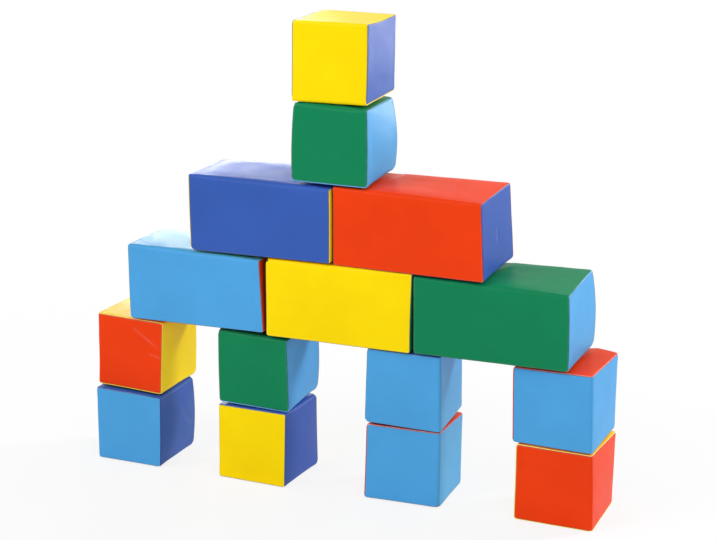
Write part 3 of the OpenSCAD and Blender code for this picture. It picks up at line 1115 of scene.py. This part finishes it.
def teeth_tree():
    made = Tree(new_tree("zip_teeth", ("Pitch", "Tooth length", "Height", "Overlap")))
    pitch, length = made.inputs["Pitch"], made.inputs["Tooth length"]
    height, overlap = made.inputs["Height"], made.inputs["Overlap"]
    disc = made.add("GeometryNodeMeshCircle", {"Vertices": TOOTH_SIDES, "Radius": 0.5}, fill_type="NGON")
    wide = made.math("MULTIPLY", pitch, TOOTH_WIDTH)
    sole = made.add("GeometryNodeTransform", {"Geometry": disc.outputs[0],
                                              "Scale": made.vector(wide, length, 1.0)})
    body = made.add("GeometryNodeExtrudeMesh", {"Mesh": sole.outputs[0],
                                                "Offset Scale": made.math("MULTIPLY", height, TOOTH_WALL)})
    crown = made.add("GeometryNodeExtrudeMesh", {"Mesh": body.outputs["Mesh"], "Selection": body.outputs["Top"],
                                                 "Offset Scale": made.math("MULTIPLY", height, TOOTH_CROWN)})
    ridge = made.add("GeometryNodeScaleElements", {"Geometry": crown.outputs["Mesh"],
                                                   "Selection": crown.outputs["Top"], "Scale": RIDGE_SHARE})
    floor = made.add("GeometryNodeFlipFaces", {"Mesh": sole.outputs[0]})
    tooth = made.add("GeometryNodeMergeByDistance", {"Geometry": made.join(ridge.outputs[0], floor.outputs[0])})
    points = made.along_path(pitch)
    index = made.add("GeometryNodeInputIndex").outputs[0]
    side = made.math("MULTIPLY", made.math("SUBTRACT", made.math("MODULO", index, 2.0), 0.5), overlap)
    shifted = made.add("GeometryNodeSetPosition", {"Geometry": points, "Offset": made.vector(0.0, side, 0.0)})
    row = made.add("GeometryNodeInstanceOnPoints", {"Points": shifted.outputs[0], "Instance": tooth.outputs[0]})
    return made.finish(row.outputs[0])


# %% The tree of stitches
def stitch_tree():
    made = Tree(new_tree("stitches", ("Pitch", "Stitch length", "Thread")))
    length, thread = made.inputs["Stitch length"], made.inputs["Thread"]
    bead = made.add("GeometryNodeMeshUVSphere", {"Segments": 6, "Rings": 5, "Radius": 0.5})
    stitch = made.add("GeometryNodeTransform", {"Geometry": bead.outputs[0],
                                                "Scale": made.vector(length, thread, thread)})
    points = made.along_path(made.inputs["Pitch"])
    tangent = made.add("GeometryNodeInputTangent").outputs[0]
    turn = made.add("FunctionNodeAlignRotationToVector", {"Vector": tangent}, axis="X")
    row = made.add("GeometryNodeInstanceOnPoints", {"Points": points, "Instance": stitch.outputs[0],
                                                    "Rotation": turn.outputs[0]})
    return made.finish(row.outputs[0])


# %% Running a tree
def grown(name, tree, points, edges, sizes, material):
    """Runs a tree on a line of points and returns its result as a plain mesh."""
    mesh = bpy.data.meshes.new(name)
    mesh.from_pydata(points, edges, [])
    holder = bpy.data.objects.new(name, mesh)
    scene.collection.objects.link(holder)
    modifier = holder.modifiers.new(name, "NODES")
    modifier.node_group = tree
    for item in tree.interface.items_tree:
        if item.in_out == "INPUT" and item.name in sizes:
            modifier[item.identifier] = sizes[item.name]
        if item.in_out == "INPUT" and item.name == "Material":
            modifier[item.identifier] = material
    result = bpy.data.meshes.new_from_object(holder.evaluated_get(bpy.context.evaluated_depsgraph_get()))
    bpy.data.objects.remove(holder)
    return result


# %% Growing teeth and stitches
TAPE_DEPTH = -1.05 * MM
TEETH = {"Pitch": 1.6 * MM, "Tooth length": 3.6 * MM, "Height": 2.1 * MM, "Overlap": 2.4 * MM}
STITCHES = {"Pitch": 4.2 * MM, "Stitch length": 3.3 * MM, "Thread": 0.65 * MM}
STITCH_GAP = 2.6 * MM
THREAD_LIFT = 0.12 * MM
teeth_nodes = teeth_tree()
stitch_nodes = stitch_tree()


def zip_meshes(half_length):
    """The teeth and the stitches of a zip, along X and outward Z, in a block of the given half length."""
    reach = zip_window(half_length)
    line = [(-reach, 0, TAPE_DEPTH), (reach, 0, TAPE_DEPTH)]
    teeth = grown("zip_teeth", teeth_nodes, line, [(0, 1)], TEETH, teeth_material)
    x, y = reach + STITCH_GAP, ZIP_WINDOW / 2 + STITCH_GAP
    ring = [(-x, -y, THREAD_LIFT), (x, -y, THREAD_LIFT), (x, y, THREAD_LIFT), (-x, y, THREAD_LIFT)]
    sides = [(0, 1), (1, 2), (2, 3), (3, 0)]
    stitches = grown("zip_stitches", stitch_nodes, ring, sides, STITCHES, thread_material)
    return teeth, stitches


zip_kinds = {half: zip_meshes(half) for half in (CUBE / 2, BRICK_LENGTH / 2)}
for half, (teeth, stitches) in zip_kinds.items():
    print("Zip", round(2000 * half), "mm block:", len(teeth.polygons), "and", len(stitches.polygons), "faces")

# %% Fitting the zips
TAPE_WIDTH = 26 * MM
TAPE_THICK = 0.8 * MM
TAPE_END = 5 * MM
TAPE_DIP = 0.15 * MM
TAPE_LINES_ACROSS, TAPE_LINES_ALONG = 13, 41


def zip_stand(block):
    """The matrix from a zip's own frame, along X and outward Z, to its place in the wall."""
    outward = Vector((0, 1, -ZIP_SLOPE)).normalized()
    along = Vector((1, 0, 0))
    down = outward.cross(along)
    place = Matrix((along, down, outward)).transposed().to_4x4()
    place.translation = (0, ZIP_OUT, ZIP_HEIGHT)
    return stand_of(block) @ Matrix(lay_of(block).tolist()).to_4x4() @ place


def tape_mesh(half_length):
    """A woven band with slightly raised edges and a low middle under the teeth."""
    reach = zip_window(half_length) + TAPE_END
    across = np.linspace(-TAPE_WIDTH / 2, TAPE_WIDTH / 2, TAPE_LINES_ACROSS)
    along = np.linspace(-reach, reach, TAPE_LINES_ALONG)
    x, y = np.meshgrid(along, across)
    z = TAPE_DEPTH - TAPE_DIP * np.cos(2 * math.pi * y / TAPE_WIDTH)
    mesh = bpy.data.meshes.new("zip_tape")
    points = np.stack([x, y, z], axis=-1).reshape(-1, 3)
    mesh.from_pydata(points.tolist(), [], grid_quads(*x.shape).tolist())
    mesh.materials.append(tape_material)
    return mesh


for block in BLOCKS:
    half_length = half_size(block)[0]
    teeth, stitches = zip_kinds[half_length]
    kinds = {"zip_teeth": teeth.copy(), "zip_stitches": stitches.copy(), "zip_tape": tape_mesh(half_length)}
    for kind, mesh in kinds.items():
        mesh.name = block + "_" + kind
        mesh.transform(zip_stand(block))
        mesh.shade_smooth()
        piece = bpy.data.objects.new(mesh.name, mesh)
        scene.collection.objects.link(piece)
        if kind == "zip_tape":
            wall = piece.modifiers.new("thickness", "SOLIDIFY")
            wall.thickness = TAPE_THICK
            wall.offset = -1
        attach(piece, block)
    slider = frame["nodes"][block + "_zip_slider"]
    slider.data.materials.clear()
    slider.data.materials.append(metal_material)
print("Zips fitted:", len(BLOCKS))

# %% [markdown]
# ## Floor, light and camera
# The photograph has a white ground, large soft lights and a long lens. The floor is a pale sheet that keeps a
# soft shadow near the wall and turns plain white further out. A broad light from the front fills the fronts
# evenly, one from the right catches the right faces, and low panels behind the wall give the tops their gloss. The
# lens and the camera's place were fitted to the corners of the blocks.

# %% Floor and world
FLOOR_SIZE = 30.0
FLOOR_DROP = 0.5 * MM
SHADOW_NEAR, SHADOW_FAR = 0.7, 2.2
WHITE_NEAR, WHITE_FAR = 0.82, 1.0
WORLD_LIGHT, WORLD_SEEN = 0.46, 1.0


def seen(finish_nodes, links):
    """A socket that is 1 for rays from the eye, a mirror or clear glass."""
    path = finish_nodes.new("ShaderNodeLightPath")
    both = finish_nodes.new("ShaderNodeMath")
    both.operation = "MAXIMUM"
    links.new(path.outputs["Is Camera Ray"], both.inputs[0])
    links.new(path.outputs["Is Glossy Ray"], both.inputs[1])
    all_three = finish_nodes.new("ShaderNodeMath")
    all_three.operation = "MAXIMUM"
    links.new(both.outputs[0], all_three.inputs[0])
    links.new(path.outputs["Is Transmission Ray"], all_three.inputs[1])
    return all_three.outputs[0]


def floor_finish():
    finish = Finish("pale_floor")
    links = finish.material.node_tree.links
    finish.set(Base_Color=(0.85, 0.85, 0.85, 1), Roughness=0.9, Specular_IOR_Level=0.0)
    glow = finish.add("ShaderNodeEmission")
    far = finish.add("ShaderNodeVectorMath", operation="LENGTH")
    finish.join(finish.place, far.inputs[0])
    white = finish.spread(far.outputs["Value"], SHADOW_NEAR, SHADOW_FAR, WHITE_NEAR, WHITE_FAR)
    blend = finish.add("ShaderNodeMixShader")
    finish.join(finish.times(white, seen(finish.nodes, links)), blend.inputs[0])
    finish.join(finish.shader.outputs[0], blend.inputs[1])
    finish.join(glow.outputs[0], blend.inputs[2])
    finish.join(blend.outputs[0], finish.nodes["Material Output"].inputs["Surface"])
    return finish.material


floor_mesh = bpy.data.meshes.new("floor")
corner = FLOOR_SIZE / 2
floor_mesh.from_pydata([(-corner, -corner, 0), (corner, -corner, 0), (corner, corner, 0), (-corner, corner, 0)],
                       [], [(0, 1, 2, 3)])
floor_mesh.materials.append(floor_finish())
floor = bpy.data.objects.new("floor", floor_mesh)
floor.location.z = -FLOOR_DROP
scene.collection.objects.link(floor)

world = bpy.data.worlds.new("studio")
world.use_nodes = True
scene.world = world
ground = world.node_tree.nodes["Background"]
ground.inputs["Color"].default_value = (1, 1, 1, 1)
level = world.node_tree.nodes.new("ShaderNodeMapRange")
level.inputs["To Min"].default_value = WORLD_LIGHT
level.inputs["To Max"].default_value = WORLD_SEEN
world.node_tree.links.new(seen(world.node_tree.nodes, world.node_tree.links), level.inputs["Value"])
world.node_tree.links.new(level.outputs["Result"], ground.inputs["Strength"])


# %% Lights
def panel(name, place, aim, size, power):
    """A soft light of the given width, height and watts that looks at a point."""
    lamp = bpy.data.lights.new(name, "AREA")
    lamp.shape = "RECTANGLE"
    lamp.size, lamp.size_y = size
    lamp.energy = power
    lamp_object = bpy.data.objects.new(name, lamp)
    lamp_object.location = place
    lamp_object.rotation_euler = (Vector(aim) - Vector(place)).to_track_quat("-Z", "Y").to_euler()
    scene.collection.objects.link(lamp_object)


panel("front_panel", (-2.2, -3.0, 3.3), (0, 0, 0.7), (2.4, 2.0), 92)
panel("top_panel", (0.6, -0.9, 3.6), (0.2, 0, 0.7), (1.6, 1.6), 14)
panel("front_right_panel", (3.6, -3.2, 1.5), (0, 0, 0.6), (2.0, 2.0), 30)
panel("right_panel", (4.6, 3.8, 4.05), (0, 0, 0.6), (1.25, 1.25), 262)
panel("back_right_panel", (1.3, 3.4, 0.9), (0, 0, 0.9), (1.4, 0.9), 25)
panel("back_left_panel", (-2.2, 3.7, 1.25), (-0.3, 0, 0.8), (0.95, 1.1), 29)

# %% Camera
PHOTO_WIDTH = 716
FOCUS_PIXELS = 1942.5
SENSOR = 36.0
lens = bpy.data.cameras.new("camera")
lens.sensor_width = SENSOR
lens.lens = FOCUS_PIXELS / PHOTO_WIDTH * SENSOR
camera = bpy.data.objects.new("camera", lens)
camera.location = (1.8065, -4.3236, 1.8731)
camera.rotation_euler = (math.radians(74.38), 0, math.radians(22.34))
scene.collection.objects.link(camera)
scene.camera = camera
scene.view_settings.view_transform = "Standard"
print("Lens in mm:", round(lens.lens, 2))
